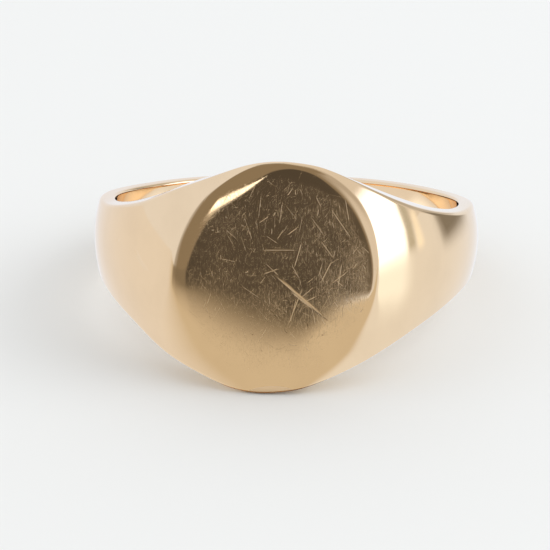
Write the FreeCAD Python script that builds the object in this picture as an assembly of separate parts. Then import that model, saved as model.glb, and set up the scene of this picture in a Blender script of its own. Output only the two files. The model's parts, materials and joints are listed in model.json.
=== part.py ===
import FreeCAD, Part
import math
import os

# Signet ring, built up on the bench from soldered pieces and lying on its side.
# All lengths are millimetres. Two frames are used:
#   ring frame - bore axis along Z, mid-plane of the band at Z = 0, signet face towards -Y,
#                angle phi measured about Z from the middle of the face towards +X;
#   row frame  - the ring at rest on a table, Z up, lowest point at Z = 0.
# Everything is modelled in the ring frame and moved to the row frame at the end.

V = FreeCAD.Vector

# ---------------------------------------------------------------- driving dimensions
FINGER_RADIUS = 9.30        # radius of the finger hole, inside diameter 18.6
FACE_PLANE = 11.32          # distance of the crease round the face from the bore axis
FACE_DOME = 0.36            # height of the slightly domed face above that crease
FACE_HALF_HEIGHT = 6.15     # crease, half height along the bore axis
TABLE_JOINT = 10.30         # plane of the soldered joint under the signet table
HEAD_HALF_WIDTH = 5.80      # planes of the soldered joints between head and shoulders
SHANK_JOINT_DEG = 82.0      # joint between shoulder and shank, angle from the face
SHANK_JOINT_SCARF_DEG = 18.0  # slant of that joint away from the radial plane
BACK_SEAM = 0.14            # thickness of the solder line that closes the shank at the back
EDGE_ROUND = 0.24           # softening of the band's outer edges
BAND_CROWN = 0.32           # crown of the band's outside, over its edges, sides and back

# half width of the band along the bore axis, against phi in degrees
HALF_WIDTH = ((0.0, 6.26), (8.0, 6.04), (16.0, 5.44), (24.0, 4.68), (32.0, 3.95), (42.0, 3.22),
              (54.0, 2.64), (68.0, 2.21), (90.0, 1.92), (130.0, 1.42), (180.0, 1.26))
# the same at the finger hole: the rims lean in at the head, and a little out at the shoulders
INNER_HALF_WIDTH = ((0.0, 5.83), (9.3, 5.62), (20.5, 4.95), (26.2, 4.56), (38.3, 3.74), (54.3, 2.81), (60.0, 2.56), (73.0, 2.15),
                    (90.0, 1.90), (130.0, 1.41), (180.0, 1.25))
# radius of the band's outer edges, against phi in degrees
EDGE_RADIUS = ((0.0, 11.25), (15.0, 11.45), (20.0, 11.55), (25.7, 11.58), (35.0, 11.35), (45.0, 10.98),
               (60.0, 10.50), (75.0, 10.22), (90.0, 10.10), (120.0, 10.02), (180.0, 10.00))

PHI_STEP = 4.0              # spacing of the surface's sections
SIDE_ROUND = 14             # points across the crowned outside
TILT_REACH_FRONT = 11.20    # radius of the lower rim at the head, where the ring rests
TILT_REACH_BACK = 9.95      # radius of the lower rim at the back, where the ring rests


def pchip(table):
    """Monotone cubic through a table of (x, y), as a function."""
    xs = [p[0] for p in table]
    ys = [p[1] for p in table]
    n = len(xs)
    h = [xs[i + 1] - xs[i] for i in range(n - 1)]
    s = [(ys[i + 1] - ys[i]) / h[i] for i in range(n - 1)]
    d = [0.0] * n
    for i in range(1, n - 1):
        if s[i - 1] * s[i] > 0:
            w1 = 2 * h[i] + h[i - 1]
            w2 = h[i] + 2 * h[i - 1]
            d[i] = (w1 + w2) / (w1 / s[i - 1] + w2 / s[i])
    # both ends lie on planes of symmetry, so the slope there is zero

    def f(x):
        x = min(max(x, xs[0]), xs[-1])
        i = 0
        while i < n - 2 and x > xs[i + 1]:
            i += 1
        t = (x - xs[i]) / h[i]
        a = 2 * t ** 3 - 3 * t ** 2 + 1
        b = t ** 3 - 2 * t ** 2 + t
        c = -2 * t ** 3 + 3 * t ** 2
        e = t ** 3 - t ** 2
        return a * ys[i] + b * h[i] * d[i] + c * ys[i + 1] + e * h[i] * d[i + 1]
    return f


_half_width = pchip(HALF_WIDTH)
_inner_half_width = pchip(INNER_HALF_WIDTH)
_edge_radius = pchip(EDGE_RADIUS)


def fold(phi):
    """Angle from the face in degrees, 0 to 180, for any phi."""
    p = abs((phi + 180.0) % 360.0 - 180.0)
    return p


def half_width(phi):
    return _half_width(fold(phi))


def inner_half_width(phi):
    return _inner_half_width(fold(phi))


def edge_radius(phi):
    return _edge_radius(fold(phi))


def crown_radius(phi):
    """Radius of the band's outside at mid width: full at the head, where the face plane cuts it, a low crown behind."""
    p = fold(phi)
    s = math.sin(math.radians(p))
    full = -4.9 * s + math.sqrt(24.0 * s * s + 210.0)
    low = edge_radius(p) + BAND_CROWN
    t = min(max((p - 75.0) / 25.0, 0.0), 1.0)
    t = t * t * (3 - 2 * t)
    return full * (1 - t) + low * t


def section(phi):
    """Closed section of the band at phi as (radius, z) pairs: round the inside, over the rim and across the outside."""
    w = half_width(phi)
    re = edge_radius(phi)
    rm = crown_radius(phi)
    e = EDGE_ROUND
    core = FINGER_RADIUS - 0.6
    flat = re - e * 1.1                             # the flat rim's outer end
    lean = (w - inner_half_width(phi)) / (flat - FINGER_RADIUS)

    def rim(r):
        return w - lean * (flat - r)
    pts = []
    # inside wall, hidden in the bore cut, from the lower rim up
    for k in range(4):
        pts.append((core, w * (-0.72 + 0.48 * k)))
    pts.append((core, rim(core) - 0.12))
    # upper rim, straight in section
    for k in range(5):
        r = core + 0.12 + (flat - core - 0.12) * k / 4.0
        pts.append((r, rim(r)))
    # outside, from the upper edge to the lower one
    ts = [0.0, 0.35, 0.75] + [1.25 + 0.0]
    up = []
    for k, f in enumerate((0.42, 1.05, 1.9, 3.2)):
        z = w - e * f
        t = z / w
        r = re + (rm - re) * (1 - t * t)
        back = (0.34, 0.06, 0.0, 0.0)[k] * e
        up.append((r - back, z))
    zc = up[-1][1]
    across = []
    for k in range(1, SIDE_ROUND):
        z = zc * math.cos(math.pi * k / SIDE_ROUND)
        z = 0.55 * z + 0.45 * zc * (1 - 2.0 * k / SIDE_ROUND)
        t = z / w
        across.append((re + (rm - re) * (1 - t * t), z))
    pts += up + across + [(r, -z) for r, z in reversed(up)]
    # lower rim
    for k in range(4, -1, -1):
        r = core + 0.12 + (flat - core - 0.12) * k / 4.0
        pts.append((r, -rim(r)))
    pts.append((core, -rim(core) + 0.12))
    return pts


def band(phi0, phi1):
    """Solid length of the band between two multiples of PHI_STEP, bore not yet cut."""
    n = int(round((phi1 - phi0) / PHI_STEP)) + 1
    grow = 3.0 / (2.0 + math.cos(math.radians(PHI_STEP)))   # a cubic runs inside its poles on a circle
    poles = []
    for i in range(n):
        phi = phi0 + PHI_STEP * i
        g = grow if 0 < i < n - 1 else 1.0
        c, s = math.cos(math.radians(phi)), math.sin(math.radians(phi))
        poles.append([V(r * g * s, -r * g * c, z) for r, z in section(phi)])
    m = len(poles[0])
    umults = [4] + [1] * (n - 4) + [4]
    uknots = [float(k) for k in range(len(umults))]
    vmults = [1] * (m + 1)
    vknots = [float(k) for k in range(m + 1)]
    surf = Part.BSplineSurface()
    surf.buildFromPolesMultsKnots(poles, umults, vmults, uknots, vknots, False, True, 3, 3)
    side = surf.toShape()
    if side.ShapeType != "Face":
        side = side.Faces[0]
    caps = []
    for u in (uknots[0], uknots[-1]):
        rim = surf.uIso(u)
        caps.append(Part.Face(Part.Wire([rim.toShape()])))
    shell = Part.makeShell([side] + caps)
    shell.sewShape(1e-4) if hasattr(shell, "sewShape") else None
    if shell.ShapeType != "Shell":
        shell = shell.Shells[0]
    solid = Part.makeSolid(shell)
    if solid.Volume < 0:
        solid.reverse()
    return solid


def box(x0, x1, y0, y1, z0=-20.0, z1=20.0):
    return Part.makeBox(x1 - x0, y1 - y0, z1 - z0, V(x0, y0, z0))


def joint_block(side):
    """Large block on the shank's side of the slanted joint between shoulder and shank."""
    b = Part.makeBox(40.0, 40.0, 40.0, V(0.0, 0.0, -20.0))
    # the block's face X = 0 ... is turned to the joint plane: its normal leans from the tangent towards the outside
    a = math.radians(SHANK_JOINT_DEG)
    p = V(9.8 * math.sin(a), -9.8 * math.cos(a), 0.0)
    b.translate(V(0.0, -20.0, 0.0))
    turn = SHANK_JOINT_DEG + SHANK_JOINT_SCARF_DEG
    b.rotate(V(0, 0, 0), V(0, 0, 1), turn)
    b.translate(p)
    if side < 0:
        b = b.mirror(V(0, 0, 0), V(1, 0, 0))
    return b


def one_solid(shape, name):
    solids = shape.Solids
    if len(solids) != 1:
        raise RuntimeError("%s has %d solids" % (name, len(solids)))
    s = solids[0]
    if not s.isValid():
        raise RuntimeError("%s is not valid" % name)
    return s


# ---------------------------------------------------------------- cutting tools, ring frame
bore = Part.makeCylinder(FINGER_RADIUS, 40.0, V(0, 0, -20.0), V(0, 0, 1))
dome_radius = (FACE_HALF_HEIGHT ** 2 + FACE_DOME ** 2) / (2 * FACE_DOME)
dome = Part.makeSphere(dome_radius, V(0, dome_radius - FACE_PLANE - FACE_DOME, 0), V(0, 0, 1), -90, 90, 360)
dome.rotate(V(0, dome_radius - FACE_PLANE - FACE_DOME, 0), V(0, 0, 1), 90)

pieces = {}

# ---------------------------------------------------------------- head: signet table and the block under it
head = band(-72.0, 72.0).cut(bore).common(dome)
pieces["signet_table"] = one_solid(head.common(box(-12.0, 12.0, -20.0, -TABLE_JOINT)), "signet_table")
behind = head.common(box(-12.0, 12.0, -TABLE_JOINT, 0.0))
pieces["head_block"] = one_solid(behind.common(box(-HEAD_HALF_WIDTH, HEAD_HALF_WIDTH, -20.0, 0.0)), "head_block")

# ---------------------------------------------------------------- shoulders and shank, right side, then mirrored
side = band(0.0, 196.0).cut(bore).common(dome)
outer = side.common(box(HEAD_HALF_WIDTH, 20.0, -TABLE_JOINT, 20.0))
rear = joint_block(1)
shoulder = one_solid(outer.cut(rear), "right_shoulder")
half = side.common(box(BACK_SEAM / 2.0, 20.0, -6.0, 20.0))
shank = one_solid(half.common(rear), "right_shank")
pieces["right_shoulder"] = shoulder
pieces["left_shoulder"] = one_solid(shoulder.mirror(V(0, 0, 0), V(1, 0, 0)), "left_shoulder")
pieces["right_shank"] = shank
pieces["left_shank"] = one_solid(shank.mirror(V(0, 0, 0), V(1, 0, 0)), "left_shank")

# ---------------------------------------------------------------- solder line that closes the shank
back = band(148.0, 212.0).cut(bore)
pieces["back_solder_seam"] = one_solid(back.common(box(-BACK_SEAM / 2.0, BACK_SEAM / 2.0, 5.0, 20.0)), "back_solder_seam")

# ---------------------------------------------------------------- to the row frame: lying on the table
tilt = math.degrees(math.atan2(half_width(0.0) - half_width(180.0), TILT_REACH_FRONT + TILT_REACH_BACK))
low = None
for name in list(pieces):
    s = pieces[name].copy()
    s.rotate(V(0, 0, 0), V(1, 0, 0), -tilt)
    pieces[name] = s
    b = s.optimalBoundingBox(True, False) if hasattr(s, "optimalBoundingBox") else s.BoundBox
    low = b.ZMin if low is None else min(low, b.ZMin)

y0 = min((p.optimalBoundingBox(True, False).YMin for p in pieces.values()))
y1 = max((p.optimalBoundingBox(True, False).YMax for p in pieces.values()))
lift = V(0.0, -(y0 + y1) / 2.0, -low)
centre = V(0, 0, 0) + lift
axis = V(0.0, math.sin(math.radians(tilt)), math.cos(math.radians(tilt)))

os.makedirs("parts", exist_ok=True)
total = 0.0
for name, s in pieces.items():
    s.translate(lift)
    s.exportStep("parts/%s.step" % name)
    total += s.Volume
    b = s.optimalBoundingBox(True, False)
    print("%-18s vol %8.3f mm3  x %7.3f %7.3f  y %7.3f %7.3f  z %7.3f %7.3f  faces %d" % (
        name, s.Volume, b.XMin, b.XMax, b.YMin, b.YMax, b.ZMin, b.ZMax, len(s.Faces)))
print("tilt %.4f deg, bore centre %.4f %.4f %.4f, bore axis %.6f %.6f %.6f, volume %.2f mm3" % (
    tilt, centre.x, centre.y, centre.z, axis.x, axis.y, axis.z, total))
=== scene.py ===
import json
import math

import bmesh
import bpy
import numpy as np
from mathutils import Matrix, Vector


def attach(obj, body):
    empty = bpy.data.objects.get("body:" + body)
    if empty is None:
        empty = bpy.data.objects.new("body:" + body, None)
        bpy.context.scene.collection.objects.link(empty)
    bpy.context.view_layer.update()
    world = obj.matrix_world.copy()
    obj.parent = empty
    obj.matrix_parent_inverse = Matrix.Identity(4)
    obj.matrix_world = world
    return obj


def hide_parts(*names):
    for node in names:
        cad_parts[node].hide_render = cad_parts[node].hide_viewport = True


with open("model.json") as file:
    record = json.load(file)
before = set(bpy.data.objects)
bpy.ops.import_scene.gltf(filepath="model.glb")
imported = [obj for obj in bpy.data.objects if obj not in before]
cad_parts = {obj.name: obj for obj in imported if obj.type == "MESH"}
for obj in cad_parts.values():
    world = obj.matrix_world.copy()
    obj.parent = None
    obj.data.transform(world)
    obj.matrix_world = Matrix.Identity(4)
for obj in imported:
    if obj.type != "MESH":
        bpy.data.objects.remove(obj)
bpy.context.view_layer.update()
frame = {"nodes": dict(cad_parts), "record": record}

# --------------------------------------------------------------------------- the ring's own frame
# Bore axis along Z, face towards -Y, millimetres; the same driving numbers as the CAD design.
MOUNT = [m for m in frame["record"]["mounts"] if m["name"] == "finger_bore"][0]
TILT = math.atan2(MOUNT["axis"][1], MOUNT["axis"][2])
LIFT = np.array(MOUNT["pos_m"]) * 1000.0
FINGER_RADIUS = float(MOUNT["dims"]["r_mm"])

# BEGIN GEOMETRY
FACE_PLANE = 11.32
TABLE_JOINT = 10.30
HEAD_HALF_WIDTH = 5.80
SHANK_JOINT_DEG = 82.0
SHANK_JOINT_SCARF_DEG = 18.0
BACK_SEAM = 0.14
BAND_CROWN = 0.32
HALF_WIDTH = ((0.0, 6.26), (8.0, 6.04), (16.0, 5.44), (24.0, 4.68), (32.0, 3.95), (42.0, 3.22),
              (54.0, 2.64), (68.0, 2.21), (90.0, 1.92), (130.0, 1.42), (180.0, 1.26))
INNER_HALF_WIDTH = ((0.0, 5.83), (9.3, 5.62), (20.5, 4.95), (26.2, 4.56), (38.3, 3.74), (54.3, 2.81), (60.0, 2.56), (73.0, 2.15),
                    (90.0, 1.90), (130.0, 1.41), (180.0, 1.25))
EDGE_RADIUS = ((0.0, 11.25), (15.0, 11.45), (20.0, 11.55), (25.7, 11.58), (35.0, 11.35), (45.0, 10.98),
               (60.0, 10.50), (75.0, 10.22), (90.0, 10.10), (120.0, 10.02), (180.0, 10.00))

FACE_A, FACE_B = 5.42, 6.18      # half width and half height of the crease round the face
DOME = 0.15                      # doming of the face inside its rolled rim
RIM_DROP = 0.15                  # height of the polished, rolled rim inside the crease
RIM_WIDTH = ((-180.0, 0.74), (-90.0, 0.95), (-40.0, 0.75), (0.0, 0.56), (15.0, 0.62), (30.0, 0.70), (51.0, 0.66), (63.0, 0.62),
             (72.0, 0.46), (83.0, 0.40), (95.0, 0.44), (102.0, 0.64), (108.0, 0.96), (115.0, 1.16), (125.0, 1.18), (134.0, 1.04),
             (147.0, 0.94), (160.0, 0.88), (170.0, 0.76), (180.0, 0.74))    # its width by the angle on the face; wear has made it uneven
FACE_TURN = math.radians(1.385)  # the face sits a little out of square with the band, from wear
HEAD_TWIST = math.radians(2.237)  # and the head leans a little, at 6 mm above the mid-plane
EDGE_SOFT, INNER_SOFT = 0.23, 0.17
UNEVEN = (0.11, -0.07)           # hand filing: left shoulder a little broader, head a little lower, mm


def pchip(table):
    xs = np.array([p[0] for p in table], float)
    ys = np.array([p[1] for p in table], float)
    h = np.diff(xs)
    s = np.diff(ys) / h
    d = np.zeros(len(xs))
    for i in range(1, len(xs) - 1):
        if s[i - 1] * s[i] > 0:
            w1, w2 = 2 * h[i] + h[i - 1], h[i] + 2 * h[i - 1]
            d[i] = (w1 + w2) / (w1 / s[i - 1] + w2 / s[i])

    def f(x):
        x = np.clip(x, xs[0], xs[-1])
        i = np.clip(np.searchsorted(xs, x, side="right") - 1, 0, len(xs) - 2)
        t = (x - xs[i]) / h[i]
        return ((2 * t ** 3 - 3 * t ** 2 + 1) * ys[i] + (t ** 3 - 2 * t ** 2 + t) * h[i] * d[i]
                + (3 * t ** 2 - 2 * t ** 3) * ys[i + 1] + (t ** 3 - t ** 2) * h[i] * d[i + 1])
    return f


def smooth(table, step=1.0, width=2.2):
    """The table's curve with its curvature evened out, as the CAD's own cubic surface evens it."""
    f = pchip(table)
    x = np.arange(-40.0, 220.0 + step, step)
    y = f(np.abs(np.where(x > 180, 360 - x, x)))
    k = np.exp(-0.5 * (np.arange(-8, 9) * step / width) ** 2)
    k /= k.sum()
    y = np.convolve(np.pad(y, 8, mode="edge"), k, "valid")
    return lambda p: np.interp(p, x, y)


half_width = smooth(HALF_WIDTH)
inner_half_width = smooth(INNER_HALF_WIDTH)
edge_radius = smooth(EDGE_RADIUS)


def rim_width(deg):
    """The rolled rim's width by the angle on the face, with its changes evened out."""
    xs = np.array([p[0] for p in RIM_WIDTH])
    ys = np.array([p[1] for p in RIM_WIDTH])
    x = np.arange(-240.0, 241.0)
    y = np.interp((x + 180.0) % 360.0 - 180.0, xs, ys)
    k = np.exp(-0.5 * (np.arange(-12, 13) / 4.0) ** 2)
    y = np.convolve(np.pad(y, 12, mode="edge"), k / k.sum(), "valid")
    return np.interp(deg, x, y)


def crown_radius(p):
    s = np.sin(np.radians(p))
    full = -4.9 * s + np.sqrt(24.0 * s * s + 210.0)
    t = np.clip((p - 75.0) / 25.0, 0, 1)
    t = t * t * (3 - 2 * t)
    return full * (1 - t) + (edge_radius(p) + BAND_CROWN) * t


def face_front(x, z):
    """Distance of the face from the bore axis, at x across and z up on it."""
    rho = np.sqrt((x / FACE_A) ** 2 + (z / FACE_B) ** 2) + 1e-9
    far = np.sqrt(x * x + z * z)
    d = far * (1.0 / rho - 1.0)          # distance inside the crease
    width = rim_width(np.degrees(np.arctan2(z / FACE_B, x / FACE_A)))
    full = RIM_DROP * (1 - (1 - np.clip(d / width, 0, 1)) ** 2) + 0.37 * np.minimum(d, 0)
    low = np.clip((-0.4 - z) / 3.4, 0, 1)
    low = low * low * (3 - 2 * low)
    worn = RIM_DROP - 0.19 * np.exp(-0.9 * np.maximum(d, 0)) + 0.18 * np.minimum(d, 0)
    rim = full * (1 - low) + worn * low
    dome = np.where(rho < 1, DOME * (1 - rho * rho), -2 * DOME * (rho - 1))
    return FACE_PLANE + rim + dome


def face_radius(phi, z):
    """Distance from the bore axis at which a radial line at phi meets the face's surface."""
    a = phi - FACE_TURN
    c = np.maximum(np.cos(a), 0.2)
    r = FACE_PLANE / c
    for _ in range(12):
        r = 0.5 * r + 0.5 * face_front(r * np.sin(a), z) / c
    return np.where(np.cos(a) < 0.55, 99.0, r)


def soft_min(a, b, k):
    h = np.maximum(k - np.abs(a - b), 0.0) / k
    return np.minimum(a, b) - h * h * k * 0.25


def bezier(a, c, b, n):
    """n points of the curve from a to b with control c, ends left out."""
    t = np.arange(1, n + 1)[:, None] / (n + 1.0)
    return (1 - t) ** 2 * a + 2 * t * (1 - t) * c + t ** 2 * b


def ring_points(fine=1.0):
    """Grid of points (columns round the ring, rows round its section) in the ring frame, with row kinds."""
    da = 0.20 / fine
    head = np.arange(-31.0, 31.0 + 1e-6, da)
    mid = np.arange(31.0 + 0.45 / fine, 62.0, 0.45 / fine)
    rest = np.arange(mid[-1] + 1.0 / fine, 180.0, 1.0 / fine)
    pos = np.concatenate([mid, rest])
    deg = np.concatenate([-pos[::-1], head, pos, [180.0]])
    deg = np.unique(np.round(deg, 5))
    if deg[0] <= -179.9999:
        deg = deg[1:]
    n_out = int(round(280 * fine))
    n_edge, n_rim, n_in, n_bore = int(9 * fine), int(6 * fine), int(7 * fine), int(40 * fine)
    grid = []
    for p in deg:
        q = abs(p)
        w, re, rm = float(half_width(q)), float(edge_radius(q)), float(crown_radius(q))
        more = UNEVEN[0] * math.exp(-((p + 29.0) / 9.0) ** 2) + UNEVEN[1] * math.exp(-((p - 2.0) / 7.0) ** 2)
        w += more
        slope = 2 * (rm - re) / w                    # of the outside, at its edge
        d2 = np.array([slope, -1.0]) / math.hypot(slope, 1.0)
        turn = math.acos(d2[0])
        cut = EDGE_SOFT * math.tan(turn / 2)
        zb = w - cut * abs(d2[1]) * 1.25
        tb = zb / w
        rb = re + (rm - re) * (1 - tb * tb)
        sb = 2 * (rm - re) * tb / w                  # slope at that point
        corner_r = rb - sb * (w - zb)                # its tangent meets the rim's plane here
        B = np.array([rb, zb])
        C = np.array([corner_r, w])
        v = np.linspace(1, -1, n_out)
        z = zb * (0.86 * v + 0.14 * np.sin(v * math.pi / 2))
        out = np.stack([re + (rm - re) * (1 - (z / w) ** 2), z], 1)
        ri = FINGER_RADIUS
        wi = float(inner_half_width(q)) + more       # half width at the finger hole
        inward = np.array([ri - corner_r, wi - w]) / math.hypot(ri - corner_r, wi - w)
        A = C + inward * cut * 1.25
        low = bezier(B * [1, -1], C * [1, -1], A * [1, -1], n_edge)
        e = INNER_SOFT
        D = np.array([ri, wi])
        E = D - inward * e
        s = np.linspace(0, 1, n_rim)[:, None]
        rim_low = (1 - s) * (A * [1, -1]) + s * (E * [1, -1])
        in_low = bezier(E * [1, -1], D * [1, -1], np.array([ri, -wi + e]), n_in)
        zi = np.linspace(-wi + e, wi - e, n_bore)
        bore = np.stack([np.full(n_bore, ri), zi], 1)
        up = [x[::-1] * [1, -1] for x in (in_low, rim_low, low)]
        grid.append(np.concatenate([out, low, rim_low, in_low, bore] + up))
    grid = np.array(grid)
    r, z = grid[..., 0], grid[..., 1]
    phi = np.radians(deg)[:, None] + 0 * r
    # the face cuts the outside; the crease is crisp above and worn softer below
    rf = face_radius(phi, z)
    worn = np.clip((-0.3 - z) / 3.5, 0, 1)
    k = 0.055 + 0.66 * worn * worn * (3 - 2 * worn)
    outer = np.zeros(grid.shape[1], bool)
    n0 = n_out + n_edge
    outer[:n0] = True
    outer[-n_edge:] = True
    r = np.where(outer[None, :], soft_min(r, rf, k), r)
    return deg, phi, r, z, outer


def warp(phi, z):
    return phi + HEAD_TWIST * z / 6.0 * np.clip(np.cos(phi), 0, 1)


def grid_mesh(deg, phi, r, z):
    p = warp(phi, z)
    P = np.stack([r * np.sin(p), -r * np.cos(p), z], -1)
    n, m = P.shape[:2]
    idx = np.arange(n * m).reshape(n, m)
    a, b = idx, np.roll(idx, -1, 0)
    q = np.stack([a, np.roll(a, -1, 1), np.roll(b, -1, 1), b], -1).reshape(-1, 4)
    return P.reshape(-1, 3), q


def vertex_normals(P, q):
    d1 = P[q[:, 2]] - P[q[:, 0]]
    d2 = P[q[:, 3]] - P[q[:, 1]]
    fn = np.cross(d1, d2)
    n = np.zeros_like(P)
    for k in range(4):
        for c in range(3):
            n[:, c] += np.bincount(q[:, k], weights=fn[:, c], minlength=len(P))
    return n / np.maximum(np.linalg.norm(n, axis=1, keepdims=True), 1e-12)
# END GEOMETRY


def to_row(P):
    """Ring frame, millimetres, to the row frame, metres."""
    c, s = math.cos(TILT), math.sin(TILT)
    Q = np.stack([P[:, 0], P[:, 1] * c + P[:, 2] * s, -P[:, 1] * s + P[:, 2] * c], 1)
    return (Q + LIFT) / 1000.0


def dir_to_row(d):
    c, s = math.cos(TILT), math.sin(TILT)
    return Vector((d[0], d[1] * c + d[2] * s, -d[1] * s + d[2] * c))


# --------------------------------------------------------------------------- wear that has a shape
# Small dents and gouges, ring frame: (x, y, z) of the middle, length, width, depth in mm, direction on the surface (degrees from
# the circumference, anticlockwise as seen from outside).
DENTS = (
    (1.42, -11.59, -0.87, 3.70, 0.10, 0.010, -40.0),    # the long scratch across the middle of the face
    (0.72, -11.60, -0.22, 1.30, 0.08, 0.005, -38.0),
    (-7.10, -9.40, 0.45, 1.55, 0.13, 0.042, -41.0),     # gouge on the left shoulder
    (-6.78, -9.86, 0.10, 0.80, 0.12, 0.032, -36.0),
    (-8.47, -7.31, 0.97, 0.42, 0.10, 0.026, 30.0),
    (-7.39, -8.71, 2.16, 0.50, 0.10, 0.024, 65.0),
    (6.18, -10.10, -2.60, 1.70, 0.09, 0.018, 88.0),     # upright hairline on the right shoulder
)


def add_dents(P, N):
    P = P.copy()
    for (x, y, z, length, width, depth, turn) in DENTS:
        c = np.array([x, y, z])
        near = np.nonzero(np.linalg.norm(P - c, axis=1) < length + 3 * width)[0]
        if not len(near):
            continue
        n = N[near[np.argmin(np.linalg.norm(P[near] - c, axis=1))]]
        e1 = np.cross([0, 0, 1.0], n)
        e1 /= np.linalg.norm(e1)
        e2 = np.cross(n, e1)
        a = math.radians(turn)
        t1, t2 = math.cos(a) * e1 + math.sin(a) * e2, -math.sin(a) * e1 + math.cos(a) * e2
        d = P[near] - c
        u, v = d @ t1, d @ t2
        keep = (N[near] @ n) > 0.5
        along = np.clip(np.abs(u) / (length / 2), 0, None)
        end = np.clip(1 - np.maximum(along - 0.35, 0) / 0.65, 0, 1) ** 1.5 if length > 2.5 * width else np.exp(-(u / width) ** 2)
        g = (np.exp(-(v / (0.5 * width)) ** 2) - 0.22 * np.exp(-((np.abs(v) - width) / (0.5 * width)) ** 2)) * end
        P[near] -= N[near] * (depth * g * keep)[:, None]
    return P


deg, phi, r, z, outer = ring_points(0.85)
P, quads = grid_mesh(deg, phi, r, z)
N = vertex_normals(P, quads)
P = add_dents(P, N)
N = vertex_normals(P, quads)
ROW_P = to_row(P)
cs, sn = math.cos(TILT), math.sin(TILT)
ROW_N = np.stack([N[:, 0], N[:, 1] * cs + N[:, 2] * sn, -N[:, 1] * sn + N[:, 2] * cs], 1)


# --------------------------------------------------------------------------- scratches on the face
# Each vertex near a scratch carries its place along and across it, so that the material can draw a line much finer than the mesh.
KNOWN_MARKS = (   # (x0, z0, x1, z1, half width, strength), ring frame, mm
    (-0.74, 1.57, 1.38, 1.60, 0.024, 0.59), (1.51, 2.14, 1.08, 0.56, 0.022, 0.50), (2.42, 2.15, 3.19, 1.11, 0.024, 0.50),
    (2.90, 3.85, 4.07, 2.17, 0.026, 0.56), (3.07, 1.11, 2.44, -0.20, 0.022, 0.50), (1.57, -0.33, 0.79, -2.51, 0.023, 0.56),
    (1.26, -0.87, 0.91, -2.37, 0.020, 0.50), (-0.47, 0.95, 0.33, 0.22, 0.024, 0.50), (-0.43, 2.37, 0.36, 1.85, 0.022, 0.50),
    (0.37, 0.64, -0.56, 0.26, 0.017, 0.43), (2.17, 4.44, 2.44, 3.87, 0.024, 0.56), (3.65, 4.45, 3.93, 2.96, 0.020, 0.43),
    (-3.45, -1.58, -3.14, -0.61, 0.017, 0.43), (-1.70, -0.30, -0.54, -1.06, 0.016, 0.37), (2.35, -0.79, 1.42, -1.24, 0.017, 0.43),
    (3.56, 1.02, 3.37, -0.47, 0.019, 0.43), (-2.44, 2.48, -1.91, 1.55, 0.017, 0.37), (0.48, 4.32, 0.29, 2.76, 0.017, 0.37),
    (-0.61, 4.72, -0.79, 3.04, 0.016, 0.37), (1.87, 3.45, 2.71, 2.25, 0.019, 0.43), (1.36, 2.87, 0.66, 2.34, 0.016, 0.37),
    (-2.89, 1.10, -1.80, 0.91, 0.016, 0.31), (2.96, -0.21, 3.97, 0.60, 0.017, 0.37), (-1.56, 3.45, -1.10, 2.10, 0.016, 0.37),
    (0.0, 0.33, 2.86, -2.07, 0.044, 1.0), (0.9, -0.55, 2.2, -1.58, 0.060, 0.8),
    # dark specks, small pits that hold dirt: negative strength
    (-0.12, -1.62, 0.10, -1.80, 0.030, -0.8), (0.10, -1.80, 0.20, -2.05, 0.030, -0.7), (1.80, -2.22, 1.86, -2.50, 0.040, -0.95),
    (-1.06, -2.93, -0.98, -2.95, 0.045, -0.8), (0.66, -2.70, 0.80, -2.82, 0.032, -0.8), (0.60, -2.58, 0.68, -2.70, 0.026, -0.6),
    (2.56, -2.84, 2.66, -2.90, 0.036, -0.7), (2.62, -1.90, 2.90, -2.12, 0.036, -0.75), (-3.3, -2.0, -3.2, -2.1, 0.03, -0.5),
    (-0.62, -3.75, -0.50, -3.8, 0.03, -0.45), (0.35, 2.2, 0.42, 2.05, 0.03, -0.4), (-2.0, 3.1, -1.9, 3.0, 0.03, -0.4),
)
LAYERS = 6


def scratch_layers(P, N):
    rng = np.random.default_rng(41)
    marks = [list(m) for m in KNOWN_MARKS]
    for _ in range(600):
        a = rng.uniform(0, 2 * math.pi)
        rr = 0.88 * math.sqrt(rng.uniform(0, 1))
        x, zc = 0.27 + FACE_A * rr * math.cos(a), FACE_B * rr * math.sin(a)
        pick = rng.uniform()
        if pick < (0.50 if zc > 1.8 else 0.20):
            t = math.radians(rng.normal(94, 12))
        elif pick < (0.66 if x > 1.0 else 0.56):
            t = math.radians(rng.normal(-56, 11))
        elif pick < 0.80:
            t = math.radians(rng.normal(66, 12))
        else:
            t = rng.uniform(0, math.pi)
        length = float(np.clip(rng.lognormal(math.log(0.44), 0.55), 0.14, 1.7))
        width = rng.uniform(0.010, 0.019)
        strength = float(np.clip(rng.gamma(1.6, 0.10), 0.05, 0.50))
        dx, dz = 0.5 * length * math.cos(t), 0.5 * length * math.sin(t)
        marks.append([x - dx, zc - dz, x + dx, zc + dz, width, strength])
    face = np.nonzero((P[:, 1] < -10.7) & (N[:, 1] < -0.75))[0]
    px, pz = P[face, 0], P[face, 2]
    out = [np.tile(np.array([0.0, 9.0, 0.0]), (len(P), 1)) for _ in range(LAYERS)]
    used = [np.zeros(len(face), bool) for _ in range(LAYERS)]
    placed = 0
    for (x0, z0, x1, z1, width, strength) in marks:
        L = math.hypot(x1 - x0, z1 - z0)
        ux, uz = (x1 - x0) / L, (z1 - z0) / L
        cx, cz = px - (x0 + x1) / 2, pz - (z0 + z1) / 2
        u, v = cx * ux + cz * uz, cz * ux - cx * uz
        near = (np.abs(u) < L / 2 + 0.08) & (np.abs(v) < 0.085 + width)
        wide = (np.abs(u) < L / 2 + 0.18) & (np.abs(v) < 0.20 + width)
        for k in range(LAYERS):
            if not (used[k] & near).any():
                break
        else:
            continue
        w = wide & ~used[k]
        out[k][face[w], 0], out[k][face[w], 1] = u[w] / L, v[w] / width
        out[k][face[near], 2] = strength
        used[k] |= near
        placed += 1
    print("SCRATCHES", placed, "of", len(marks))
    return out


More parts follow.
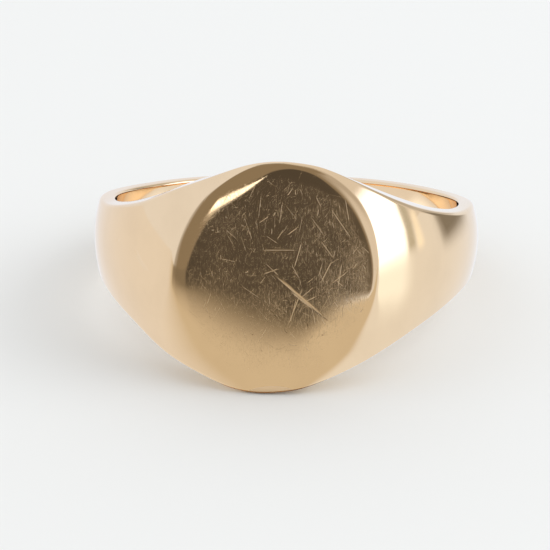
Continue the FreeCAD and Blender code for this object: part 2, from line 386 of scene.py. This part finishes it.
# --------------------------------------------------------------------------- pieces, cut at the solder joints
def plane(co, no):
    co = to_row(np.array([co], float))[0]
    return Vector(co), dir_to_row(no)


sj = math.radians(SHANK_JOINT_DEG)
turn = math.radians(SHANK_JOINT_DEG + SHANK_JOINT_SCARF_DEG)
joint_p = (9.8 * math.sin(sj), -9.8 * math.cos(sj), 0.0)
joint_n = (math.cos(turn), math.sin(turn), 0.0)
HW, TJ, HS = HEAD_HALF_WIDTH, TABLE_JOINT, BACK_SEAM / 2


def mx(v):
    return (-v[0], v[1], v[2])


def neg(v):
    return tuple(-c for c in v)


# each piece: the planes that bound it, as (point, outward normal); what lies outside is cut away
PIECES = {
    "signet_table": ([((0, -TJ, 0), (0, 1, 0))], "polished_gold"),
    "head_block": ([((0, -TJ, 0), (0, -1, 0)), ((HW, 0, 0), (1, 0, 0)), ((-HW, 0, 0), (-1, 0, 0)), ((0, 0, 0), (0, 1, 0))], "polished_gold"),
    "right_shoulder": ([((HW, 0, 0), (-1, 0, 0)), ((0, -TJ, 0), (0, -1, 0)), (joint_p, joint_n)], "polished_gold"),
    "left_shoulder": ([((-HW, 0, 0), (1, 0, 0)), ((0, -TJ, 0), (0, -1, 0)), (mx(joint_p), mx(joint_n))], "polished_gold"),
    "right_shank": ([((HS, 0, 0), (-1, 0, 0)), (joint_p, neg(joint_n))], "polished_gold"),
    "left_shank": ([((-HS, 0, 0), (1, 0, 0)), (mx(joint_p), neg(mx(joint_n)))], "polished_gold"),
    "back_solder_seam": ([((HS, 0, 0), (1, 0, 0)), ((-HS, 0, 0), (-1, 0, 0)), ((0, 0, 0), (0, -1, 0))], "gold_solder"),
}


SCRATCH = scratch_layers(P, N)


def make_piece(name, cuts):
    planes = [plane(co, no) for co, no in cuts]
    keep = np.ones(len(ROW_P), bool)
    for co, no in planes:
        keep &= (ROW_P - np.array(co)) @ np.array(no) < 0.0015
    faces = quads[keep[quads].all(1)]
    used, inv = np.unique(faces, return_inverse=True)
    inv = inv.reshape(-1, 4)
    me = bpy.data.meshes.new(name)
    me.from_pydata(ROW_P[used].tolist(), [], inv.tolist())
    bm = bmesh.new()
    bm.from_mesh(me)
    layer = bm.verts.layers.float_vector.new("skin_normal")
    cap = bm.faces.layers.int.new("cap")
    bm.verts.ensure_lookup_table()
    for v, n in zip(bm.verts, ROW_N[used]):
        v[layer] = Vector(n)
    for k in range(LAYERS):
        marks = SCRATCH[k][used]
        if name == "signet_table":
            sl = bm.verts.layers.float_vector.new("scratch_%d" % k)
            layer = bm.verts.layers.float_vector["skin_normal"]
            for v, a in zip(bm.verts, marks):
                v[sl] = Vector(a)
    layer = bm.verts.layers.float_vector["skin_normal"]
    cap = bm.faces.layers.int["cap"]
    for co, no in planes:
        # a plane that only trims what an earlier cut has left behind has nothing to close
        got = bmesh.ops.bisect_plane(bm, geom=bm.verts[:] + bm.edges[:] + bm.faces[:], dist=2e-8, plane_co=co, plane_no=no, clear_outer=True)
        rim = [e for e in got["geom_cut"] if isinstance(e, bmesh.types.BMEdge) and e.is_valid and e.is_boundary]
        if rim:
            made = bmesh.ops.edgeloop_fill(bm, edges=rim)["faces"]
            for f in made:
                f[cap] = 1
                f.normal_update()
                if f.normal.dot(no) < 0:
                    f.normal_flip()
    loose = [v for v in bm.verts if not v.link_faces]
    bmesh.ops.delete(bm, geom=loose, context="VERTS")
    big = [f for f in bm.faces if len(f.verts) > 4]
    bmesh.ops.triangulate(bm, faces=big, ngon_method="BEAUTY")
    open_edges = sum(1 for e in bm.edges if not e.is_manifold)
    normals = []
    for f in bm.faces:
        f.smooth = True
        for lp in f.loops:
            normals.append(f.normal.copy() if f[cap] else Vector(lp.vert[layer]).normalized())
    bm.to_mesh(me)
    bm.free()
    me.update()
    me.normals_split_custom_set([tuple(n) for n in normals])
    for a in ("skin_normal", "cap"):
        if a in me.attributes:
            me.attributes.remove(me.attributes[a])
    ob = bpy.data.objects.new(name + "_polished", me)
    bpy.context.scene.collection.objects.link(ob)
    print("PIECE", name, len(me.polygons), "faces", "open edges", open_edges)
    return ob

# --------------------------------------------------------------------------- studio settings
FLOOR_COLOUR = (0.825, 0.83, 0.82)
WORLD_COLOUR, WORLD_STRENGTH = (0.98, 0.99, 1.0), 0.95
VIEW, LOOK, EXPOSURE = "Standard", "None", 0.0
AREAS = (("key_right", (0.5, -0.05, 0.35), (0, 0, 0.005), (0.5, 0.5), 1.2),
         )


# --------------------------------------------------------------------------- materials
def node(nt, kind, where=(0, 0), **values):
    n = nt.nodes.new(kind)
    n.location = where
    for k, v in values.items():
        setattr(n, k, v)
    return n


class Maths:
    """Short hand for chains of Math nodes."""

    def __init__(self, nt):
        self.nt = nt

    def put(self, op, *args, clamp=False):
        n = self.nt.nodes.new("ShaderNodeMath")
        n.operation = op
        n.use_clamp = clamp
        for i, a in enumerate(args):
            if isinstance(a, (int, float)):
                n.inputs[i].default_value = a
            else:
                self.nt.links.new(a, n.inputs[i])
        return n.outputs[0]

    def add(self, a, b):
        return self.put("ADD", a, b)

    def sub(self, a, b):
        return self.put("SUBTRACT", a, b)

    def mul(self, a, b):
        return self.put("MULTIPLY", a, b)

    def ramp(self, x, lo, hi, to_lo=0.0, to_hi=1.0, smooth=True):
        n = self.nt.nodes.new("ShaderNodeMapRange")
        n.interpolation_type = "SMOOTHSTEP" if smooth else "LINEAR"
        self.nt.links.new(x, n.inputs["Value"])
        for k, v in (("From Min", lo), ("From Max", hi), ("To Min", to_lo), ("To Max", to_hi)):
            if isinstance(v, (int, float)):
                n.inputs[k].default_value = v
            else:
                self.nt.links.new(v, n.inputs[k])
        return n.outputs["Result"]


def scratch_group():
    """One hairline per cell of a random pattern: each with its own direction, bow, length and depth."""
    g = bpy.data.node_groups.new("hairlines", "ShaderNodeTree")
    g.interface.new_socket("Vector", in_out="INPUT", socket_type="NodeSocketVector")
    for s in ("Scale", "Width", "Length", "Lean", "Spread", "Seed"):
        g.interface.new_socket(s, in_out="INPUT", socket_type="NodeSocketFloat")
    g.interface.new_socket("Depth", in_out="OUTPUT", socket_type="NodeSocketFloat")
    gi, go = g.nodes.new("NodeGroupInput"), g.nodes.new("NodeGroupOutput")
    m = Maths(g)
    off = node(g, "ShaderNodeVectorMath", operation="ADD")
    cmb = node(g, "ShaderNodeCombineXYZ")
    g.links.new(m.mul(gi.outputs["Seed"], 13.7), cmb.inputs[0])
    g.links.new(m.mul(gi.outputs["Seed"], 7.3), cmb.inputs[1])
    g.links.new(gi.outputs["Vector"], off.inputs[0])
    g.links.new(cmb.outputs[0], off.inputs[1])
    vor = node(g, "ShaderNodeTexVoronoi", voronoi_dimensions="2D", feature="F1")
    g.links.new(off.outputs[0], vor.inputs["Vector"])
    g.links.new(gi.outputs["Scale"], vor.inputs["Scale"])
    d = node(g, "ShaderNodeVectorMath", operation="SUBTRACT")
    g.links.new(off.outputs[0], d.inputs[0])
    g.links.new(vor.outputs["Position"], d.inputs[1])
    dx = node(g, "ShaderNodeSeparateXYZ")
    g.links.new(d.outputs[0], dx.inputs[0])
    col = node(g, "ShaderNodeSeparateColor")
    g.links.new(vor.outputs["Color"], col.inputs[0])
    ang = m.add(gi.outputs["Lean"], m.mul(m.sub(col.outputs[0], 0.5), gi.outputs["Spread"]))
    c, s = m.put("COSINE", ang), m.put("SINE", ang)
    u = m.add(m.mul(dx.outputs[0], c), m.mul(dx.outputs[1], s))
    v = m.sub(m.mul(dx.outputs[1], c), m.mul(dx.outputs[0], s))
    bow = m.mul(m.sub(col.outputs[2], 0.5), 0.06)
    v = m.add(v, m.mul(m.mul(u, u), bow))
    w = m.mul(gi.outputs["Width"], m.add(0.45, col.outputs[1]))
    across = m.put("DIVIDE", m.put("ABSOLUTE", v), w)
    line = m.ramp(across, 0.0, 1.0, 1.0, 0.0)
    length = m.mul(gi.outputs["Length"], m.add(0.3, m.mul(col.outputs[2], 0.9)))
    along = m.put("DIVIDE", m.put("ABSOLUTE", u), length)
    ends = m.ramp(along, 0.75, 1.0, 1.0, 0.0)
    deep = m.put("POWER", m.add(0.12, m.mul(col.outputs[1], 0.88)), 1.5)
    g.links.new(m.mul(m.mul(line, ends), deep), go.inputs["Depth"])
    return g


HAIRLINES = scratch_group()



def hairlines(nt, vector, scale, width, length, lean=0.0, spread=6.283, seed=0.0):
    n = nt.nodes.new("ShaderNodeGroup")
    n.node_tree = HAIRLINES
    nt.links.new(vector, n.inputs["Vector"])
    for k, v in (("Scale", scale), ("Width", width), ("Length", length), ("Lean", lean), ("Spread", spread), ("Seed", seed)):
        n.inputs[k].default_value = v
    return n.outputs["Depth"]


def ring_coordinates(nt):
    """The ring frame's own coordinates in mm, as a vector and as its x, y and z."""
    tc = node(nt, "ShaderNodeTexCoord")
    sub = node(nt, "ShaderNodeVectorMath", operation="SUBTRACT")
    nt.links.new(tc.outputs["Object"], sub.inputs[0])
    sub.inputs[1].default_value = tuple(LIFT / 1000.0)
    sc = node(nt, "ShaderNodeVectorMath", operation="SCALE")
    nt.links.new(sub.outputs[0], sc.inputs[0])
    sc.inputs["Scale"].default_value = 1000.0
    rot = node(nt, "ShaderNodeVectorRotate", rotation_type="X_AXIS")
    nt.links.new(sc.outputs[0], rot.inputs["Vector"])
    rot.inputs["Angle"].default_value = TILT
    sep = node(nt, "ShaderNodeSeparateXYZ")
    nt.links.new(rot.outputs[0], sep.inputs[0])
    return rot.outputs[0], sep.outputs


def gold(name, base, rough):
    mat = bpy.data.materials.new(name)
    mat.use_nodes = True
    nt = mat.node_tree
    nt.nodes.clear()
    m = Maths(nt)
    out = node(nt, "ShaderNodeOutputMaterial")
    bs = node(nt, "ShaderNodeBsdfPrincipled")
    nt.links.new(bs.outputs[0], out.inputs[0])
    bs.inputs["Metallic"].default_value = 1.0
    vec, (x, y, zz) = ring_coordinates(nt)
    # flat coordinates on the face, and unrolled ones round the band
    flat = node(nt, "ShaderNodeCombineXYZ")
    nt.links.new(x, flat.inputs[0])
    nt.links.new(zz, flat.inputs[1])
    roll = node(nt, "ShaderNodeCombineXYZ")
    nt.links.new(m.mul(m.put("ARCTAN2", x, m.mul(y, -1.0)), 10.4), roll.inputs[0])
    nt.links.new(zz, roll.inputs[1])
    # where the worn face is: inside its polished rim
    rho = m.put("SQRT", m.add(m.put("POWER", m.put("DIVIDE", m.put("ABSOLUTE", m.sub(x, 0.27)), FACE_A), 2.0),
                              m.put("POWER", m.put("DIVIDE", m.put("ABSOLUTE", zz), FACE_B), 2.0)))
    wob = node(nt, "ShaderNodeTexNoise", noise_dimensions="3D")
    nt.links.new(vec, wob.inputs["Vector"])
    wob.inputs["Scale"].default_value = 1.6
    wob.inputs["Detail"].default_value = 4.0
    edge = m.add(rho, m.mul(m.sub(wob.outputs["Fac"], 0.5), 0.10))
    in_front = m.ramp(y, -9.6, -10.9, 0.0, 1.0)
    face = m.mul(m.ramp(edge, 0.84, 0.90, 1.0, 0.0), in_front)
    # hairlines on the face
    lines = []
    for k, (scale, width, length, lean, spread, depth) in enumerate((
            (1.9, 0.009, 0.24, 1.7, 2.2, 0.22), (3.1, 0.008, 0.16, 1.6, 3.1, 0.21), (5.2, 0.008, 0.10, 1.2, 3.1, 0.20))):
        lines.append(m.mul(hairlines(nt, flat.outputs[0], scale, width, length, lean, spread, k + 1.0), depth))
    fine = lines[0]
    for a in lines[1:]:
        fine = m.put("MAXIMUM", fine, a)
    patch = node(nt, "ShaderNodeTexNoise", noise_dimensions="3D")
    nt.links.new(vec, patch.inputs["Vector"])
    patch.inputs["Scale"].default_value = 0.45
    patch.inputs["Detail"].default_value = 3.0
    fine = m.mul(m.mul(fine, face), m.ramp(patch.outputs["Fac"], 0.3, 0.7, 0.75, 1.1))
    # longer scratches and dark specks, drawn from what the vertices carry
    specks = None
    for k in range(LAYERS):
        at = node(nt, "ShaderNodeAttribute", attribute_name="scratch_%d" % k)
        part = node(nt, "ShaderNodeSeparateXYZ")
        nt.links.new(at.outputs["Vector"], part.inputs[0])
        a = m.ramp(m.put("ABSOLUTE", part.outputs[1]), 0.0, 1.0, 1.0, 0.0)
        b = m.ramp(m.put("ABSOLUTE", part.outputs[0]), 0.22, 0.5, 1.0, 0.0)
        line = m.mul(m.mul(a, b), part.outputs[2])
        fine = m.put("MAXIMUM", fine, line)
        specks = m.put("MINIMUM", specks, line) if specks is not None else line
    # sparser hairlines on the band, mostly along it
    band_lines = []
    for k, (scale, width, length, lean, spread, depth) in enumerate((
            (0.34, 0.018, 1.3, 0.4, 2.4, 0.26), (0.95, 0.014, 0.5, 1.2, 3.1, 0.20))):
        band_lines.append(m.mul(hairlines(nt, roll.outputs[0], scale, width, length, lean, spread, k + 21.0), depth))
    coarse = band_lines[0]
    for a in band_lines[1:]:
        coarse = m.put("MAXIMUM", coarse, a)
    coarse = m.mul(coarse, m.ramp(face, 0.0, 1.0, 1.0, 0.25))
    height = m.add(fine, coarse)
    # gentle unevenness of hand polishing, and pitting too fine to see singly
    swell = node(nt, "ShaderNodeTexNoise", noise_dimensions="3D")
    nt.links.new(vec, swell.inputs["Vector"])
    swell.inputs["Scale"].default_value = 0.8
    swell.inputs["Detail"].default_value = 2.0
    pits = node(nt, "ShaderNodeTexNoise", noise_dimensions="3D")
    nt.links.new(vec, pits.inputs["Vector"])
    pits.inputs["Scale"].default_value = 14.0
    pits.inputs["Detail"].default_value = 4.0
    # grain: very fine scuffing with no single line to be seen, mostly upright
    stretch = node(nt, "ShaderNodeMapping")
    nt.links.new(flat.outputs[0], stretch.inputs["Vector"])
    stretch.inputs["Rotation"].default_value = (0, 0, 0.18)
    stretch.inputs["Scale"].default_value = (15.0, 3.2, 1.0)
    streaks = node(nt, "ShaderNodeTexNoise", noise_dimensions="2D")
    nt.links.new(stretch.outputs[0], streaks.inputs["Vector"])
    streaks.inputs["Scale"].default_value = 1.0
    streaks.inputs["Detail"].default_value = 5.0
    grain = m.ramp(streaks.outputs["Fac"], 0.42, 0.72, 0.0, 1.0)
    total = m.add(m.mul(height, -1.0), m.add(m.mul(swell.outputs["Fac"], 0.10), m.mul(pits.outputs["Fac"], 0.012)))
    bump = node(nt, "ShaderNodeBump")
    bump.inputs["Strength"].default_value = 1.0
    bump.inputs["Distance"].default_value = BUMP_MM / 1000.0
    nt.links.new(total, bump.inputs["Height"])
    nt.links.new(bump.outputs[0], bs.inputs["Normal"])
    # roughness: mirror polish on the rim, hazier on the worn face and where hands rub
    haze = m.add(m.add(m.mul(face, 0.03), m.mul(m.mul(grain, face), 0.085)), m.mul(m.put("MAXIMUM", fine, coarse), 0.50))
    ro = m.add(haze, m.ramp(patch.outputs["Fac"], 0.3, 0.75, rough - 0.02, rough + 0.05))
    ro = m.put("MINIMUM", ro, 0.62)
    nt.links.new(ro, bs.inputs["Roughness"])
    # colour: the alloy with faint tarnish in the scratches and slow variation
    tint = node(nt, "ShaderNodeMix", data_type="RGBA", blend_type="MIX")
    tint.inputs[6].default_value = (*base, 1)
    tint.inputs[7].default_value = (base[0] * 0.42, base[1] * 0.36, base[2] * 0.30, 1)
    dirt = m.add(m.mul(height, 0.10), m.ramp(patch.outputs["Fac"], 0.35, 0.75, 0.0, 0.06))
    dirt = m.put("MINIMUM", m.add(dirt, m.mul(specks, -1.1)), 1.0)
    nt.links.new(dirt, tint.inputs[0])
    nt.links.new(tint.outputs[2], bs.inputs["Base Color"])
    return mat


BUMP_MM = 0.0035
GOLD = gold("polished_gold", (0.87, 0.645, 0.405), 0.05)
SOLDER = gold("gold_solder", (0.87, 0.70, 0.48), 0.11)

pieces = {}
for name, (cuts, slot) in PIECES.items():
    ob = make_piece(name, cuts)
    ob.data.materials.append(SOLDER if slot == "gold_solder" else GOLD)
    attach(ob, "root")
    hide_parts(name)
    pieces[name] = ob
for n, ob in frame["nodes"].items():
    ob.data.materials.clear()
    ob.data.materials.append(SOLDER if n == "back_solder_seam" else GOLD)


# --------------------------------------------------------------------------- stage
def flat_material(name, colour, rough=0.9):
    mat = bpy.data.materials.new(name)
    mat.use_nodes = True
    b = mat.node_tree.nodes["Principled BSDF"]
    b.inputs["Base Color"].default_value = (*colour, 1)
    b.inputs["Roughness"].default_value = rough
    b.inputs["Specular IOR Level"].default_value = 0.2
    return mat


def only_in_reflections(ob, shadows=False):
    ob.visible_camera = False
    ob.visible_diffuse = False
    ob.visible_shadow = shadows
    ob.visible_transmission = False
    ob.visible_volume_scatter = False


def stage_mesh(name, verts, faces, mat, fade=None):
    me = bpy.data.meshes.new(name)
    me.from_pydata(verts, [], faces)
    if fade is not None:
        a = me.attributes.new("fade", "FLOAT", "POINT")
        a.data.foreach_set("value", np.asarray(fade, np.float32))
    me.materials.append(mat)
    ob = bpy.data.objects.new(name, me)
    bpy.context.scene.collection.objects.link(ob)
    return ob


FLOOR_Z = min(0.0, float(ROW_P[:, 2].min())) - 2e-6
S = 1.6
floor = stage_mesh("floor", [(-S, -S, FLOOR_Z), (S, -S, FLOOR_Z), (S, S, FLOOR_Z), (-S, S, FLOOR_Z)], [(0, 1, 2, 3)],
                   flat_material("floor_white", FLOOR_COLOUR))

EYE = np.array([0.0, -0.0101, 0.0062])   # about the middle of the face; directions below are as seen from here


# Soft-edged cards and flags round the ring, drawn as one dome, and the table's painted light and shade, drawn as one
# sheet on the floor. Only the metal sees them.
def step(x, lo, hi):
    t = np.clip((x - lo) / (hi - lo), 0, 1)
    return t * t * (3 - 2 * t)


def window(x, lo, hi, soft_lo, soft_hi=None):
    soft_hi = soft_lo if soft_hi is None else soft_hi
    return step(x, lo - soft_lo, lo + soft_lo) * (1 - step(x, hi - soft_hi, hi + soft_hi))


def blend_in(col, alpha, new):
    return col * (1 - alpha[..., None]) + np.array(new) * alpha[..., None]


COOL, PLAIN = (0.93, 1.00, 1.14), (0.80, 0.80, 0.80)
FLAG, CORE = (0.300, 0.262, 0.205), (0.092, 0.083, 0.072)
# painted shade: the table in front of the ring drawn darker and warmer than the white floor, as shade with warm light
# thrown back by the gold
FRONT_FLOOR_PAINTED_SHADE = (0.72, 0.675, 0.58)


def dome_light(az, el):
    """Radiance from azimuth az (0 at -Y, towards +X) and elevation el, degrees: pale walls, a window, a flag before the face."""
    c = np.ones(az.shape + (3,)) * np.array(COOL) * 0.97
    # the right-hand side, dimmer, and the back
    right = window(az, 12, 170, 6, 20)
    c = blend_in(c, right * 0.9, (0.82, 0.83, 0.86))
    c = blend_in(c, window(az, 14, 66, 5, 5) * window(el, 22, 60, 10), (0.56, 0.55, 0.54))
    c = blend_in(c, window(az, 112, 152, 8) * window(el, 5, 34, 6), (0.56, 0.57, 0.58))
    c = blend_in(c, window(az, 122, 142, 3) * (1 - step(el, 2, 9)), (0.26, 0.26, 0.25))
    c = blend_in(c, window(az, 148, 158, 4) * (1 - step(el, 14, 22)) * 0.8, (0.50, 0.50, 0.50))
    # the window
    c = blend_in(c, window(az, 72.5, 99, 2.5, 1.3) * (1 - step(el, 27, 38)), (2.0, 2.25, 2.8))
    c = blend_in(c, window(az, 99.6, 104.2, 0.9) * (1 - step(el, 30, 42)), (0.60, 0.63, 0.61))
    c = blend_in(c, window(az, 105.4, 109, 1.0) * (1 - step(el, 0, 5)), (1.2, 1.22, 1.2))
    # the flag and its darker middle
    left_edge = np.interp(el, [-1, 5, 15, 25, 35, 45, 60, 90], [-50, -48, -44.5, -43, -38, -34, -34, -60])
    right_edge = np.interp(el, [-1, 0, 2, 5, 10, 17, 25, 30, 35, 42, 52, 90], [3.2, 4, 10, 13.5, 14.5, 17.5, 20, 23, 25, 31, 50, 75])
    soft_r = np.interp(el, [0, 2, 10, 20, 40], [1.2, 3, 4, 6, 9])
    flag = step(az, left_edge - 6, left_edge + 6) * (1 - step(az, right_edge - soft_r, right_edge + soft_r)) * (1 - 0.25 * step(el, 50, 75) * (1 - window(az, -30, 50, 10) * (1 - step(el, 80, 88))))
    c = blend_in(c, flag, FLAG)
    core_l = np.interp(el, [-1, 5, 10, 27], [-13, -10.5, -8.0, -5])
    core_r = np.interp(el, [-1, 0, 4, 10, 27], [3.2, 4.0, 8, 8.5, 6])
    core = step(az, core_l - 2.5, core_l + 2.5) * (1 - step(az, core_r - 1.5, core_r + 1.5)) * (1 - step(el, 16, 28))
    c = blend_in(c, core, CORE)
    # a small bright pane inside it
    lean = el - (10.6 + (-3.8 - az) * 0.28)
    pane = window(az, -17.2, -3.2, 0.8) * window(lean, -2.3, 2.7, 0.8)
    c = blend_in(c, pane, (2.6, 2.6, 2.5))
    return c


def floor_light(az, dist):
    """The table top's painted light and shade as the metal sees it, dist metres from under the face."""
    c = np.ones(az.shape + (3,)) * np.array((0.90, 0.93, 1.0))
    # painted shade: the table in front of the ring darker and warmer
    c = blend_in(c, window(az, -72, 64, 22, 8), FRONT_FLOOR_PAINTED_SHADE)
    # painted light: the table brighter on the window side, with the window's bright pool and a dimmer and a bright
    # streak beside it
    c = blend_in(c, window(az, 64, 175, 8, 10), (0.92, 0.98, 1.08))
    c = blend_in(c, window(az, 80, 99, 3.0, 5.0) * step(dist, 0.010, 0.022), (1.22, 1.36, 1.52))
    c = blend_in(c, window(az, 76, 98.5, 3.0, 1.6) * step(dist, 0.028, 0.085), (2.0, 2.2, 2.6))
    c = blend_in(c, window(az, 99.6, 104.2, 1.2) * step(dist, 0.040, 0.075), (0.62, 0.64, 0.61))
    c = blend_in(c, window(az, 105.4, 110, 1.2) * step(dist, 0.040, 0.060), (1.2, 1.22, 1.2))
    # painted light and shade: the table inside the ring drawn bright, and the foot of the ring drawn in shade
    x, y = dist * np.sin(np.radians(az)) * 1000, -dist * np.cos(np.radians(az)) * 1000 - 11.3
    inside = 1 - step(np.hypot(x, y), 6.5, 9.0)
    c = blend_in(c, inside, (1.7, 1.85, 2.1))
    c = blend_in(c, window(az, 122, 142, 3) * step(dist, 0.026, 0.044), (0.27, 0.26, 0.24))
    ld = np.log(dist)
    shade = step(ld, math.log(0.017), math.log(0.105))
    edge = (1 - step(az, 1.8, 4.6)) * step(az, -64, -46)
    c = blend_in(c, shade * edge, (0.255, 0.225, 0.178))
    # painted shadow: the darkest shade far out on the table in front of the face
    core = step(ld, math.log(0.070), math.log(0.150)) * window(az, -16.5, 3.2, 4.0, 1.4)
    c = blend_in(c, core, CORE)
    return c


def lit_sheet(name, verts, n_rows, n_cols, colours):
    faces = []
    for i in range(n_rows - 1):
        for j in range(n_cols - 1):
            a = i * n_cols + j
            faces.append((a, a + 1, a + n_cols + 1, a + n_cols))
    me = bpy.data.meshes.new(name)
    me.from_pydata([tuple(v) for v in verts], [], faces)
    at = me.attributes.new("light", "FLOAT_COLOR", "POINT")
    rgba = np.concatenate([colours, np.ones((len(colours), 1))], 1).astype(np.float32)
    at.data.foreach_set("color", rgba.ravel())
    mat = bpy.data.materials.new(name)
    mat.use_nodes = True
    nt = mat.node_tree
    nt.nodes.clear()
    out, em = node(nt, "ShaderNodeOutputMaterial"), node(nt, "ShaderNodeEmission")
    src = node(nt, "ShaderNodeAttribute", attribute_name="light")
    nt.links.new(src.outputs["Color"], em.inputs["Color"])
    nt.links.new(em.outputs[0], out.inputs[0])
    me.materials.append(mat)
    ob = bpy.data.objects.new(name, me)
    bpy.context.scene.collection.objects.link(ob)
    only_in_reflections(ob)
    return ob


AZ = np.concatenate([np.arange(-180, -60, 3.0), np.arange(-60, 24, 0.75), np.arange(24, 64, 2.0), np.arange(64, 108, 1.0), np.arange(108, 180.1, 3.0)])
EL = np.concatenate([[-1.2, -0.6], np.arange(0, 30, 0.75), np.arange(30, 60, 2.0), np.arange(60, 90.1, 5.0)])
A, E = np.meshgrid(AZ, EL)
ar, er = np.radians(A), np.radians(E)
RADIUS = 0.62
D = np.stack([np.sin(ar) * np.cos(er), -np.cos(ar) * np.cos(er), np.sin(er)], -1)
lit_sheet("studio_dome", (EYE + RADIUS * D).reshape(-1, 3), len(EL), len(AZ), dome_light(A, E).reshape(-1, 3))
DIST_ROWS = np.geomspace(0.0016, 0.625, 60)
A, T = np.meshgrid(AZ, DIST_ROWS)
ar = np.radians(A)
V3 = np.stack([EYE[0] + T * np.sin(ar), EYE[1] - T * np.cos(ar), np.full(A.shape, FLOOR_Z + 6e-5)], -1)
# a sheet of painted light and shade on the table top, seen only in the metal
lit_sheet("painted_table_light", V3.reshape(-1, 3), len(DIST_ROWS), len(AZ), floor_light(A, T).reshape(-1, 3))

world = bpy.data.worlds.new("studio")
bpy.context.scene.world = world
world.use_nodes = True
bg = world.node_tree.nodes["Background"]
bg.inputs["Color"].default_value = (*WORLD_COLOUR, 1)
bg.inputs["Strength"].default_value = WORLD_STRENGTH


def area(name, where, aim, size, power, colour=(1, 1, 1)):
    lamp = bpy.data.lights.new(name, "AREA")
    lamp.shape = "RECTANGLE"
    lamp.size, lamp.size_y = size
    lamp.energy = power
    lamp.color = colour
    ob = bpy.data.objects.new(name, lamp)
    bpy.context.scene.collection.objects.link(ob)
    ob.location = where
    ob.rotation_euler = (Vector(aim) - Vector(where)).to_track_quat("-Z", "Y").to_euler()
    ob.visible_camera = False
    ob.visible_glossy = False
    return ob


for args in AREAS:
    area(*args)

# --------------------------------------------------------------------------- camera
PSI, ELEV, ROLL = math.radians(-3.49777), math.radians(12.77163), math.radians(-0.66768)
TX, TY, DIST, F_PX = 0.62153, 2.2933, 219.556, 4032.92
r0 = np.array([math.cos(PSI), -math.sin(PSI), 0.0])
u0 = np.array([math.sin(ELEV) * math.sin(PSI), math.sin(ELEV) * math.cos(PSI), math.cos(ELEV)])
fwd = np.array([math.cos(ELEV) * math.sin(PSI), math.cos(ELEV) * math.cos(PSI), -math.sin(ELEV)])
rt = r0 * math.cos(ROLL) - u0 * math.sin(ROLL)
up = r0 * math.sin(ROLL) + u0 * math.cos(ROLL)
eye = -TX * rt - TY * up - DIST * fwd
cam_data = bpy.data.cameras.new("camera")
cam = bpy.data.objects.new("camera", cam_data)
bpy.context.scene.collection.objects.link(cam)
R_, U_, F_ = dir_to_row(rt), dir_to_row(up), dir_to_row(fwd)
at = to_row(np.array([eye]))[0]
cam.matrix_world = Matrix(((R_.x, U_.x, -F_.x, at[0]), (R_.y, U_.y, -F_.y, at[1]), (R_.z, U_.z, -F_.z, at[2]), (0, 0, 0, 1)))
cam_data.sensor_fit = "HORIZONTAL"
cam_data.sensor_width = 36.0
cam_data.lens = F_PX * 36.0 / 550.0
cam_data.clip_start, cam_data.clip_end = 0.01, 10.0
bpy.context.scene.camera = cam

view = bpy.context.scene.view_settings
view.view_transform = VIEW
view.look = LOOK
view.exposure = EXPOSURE
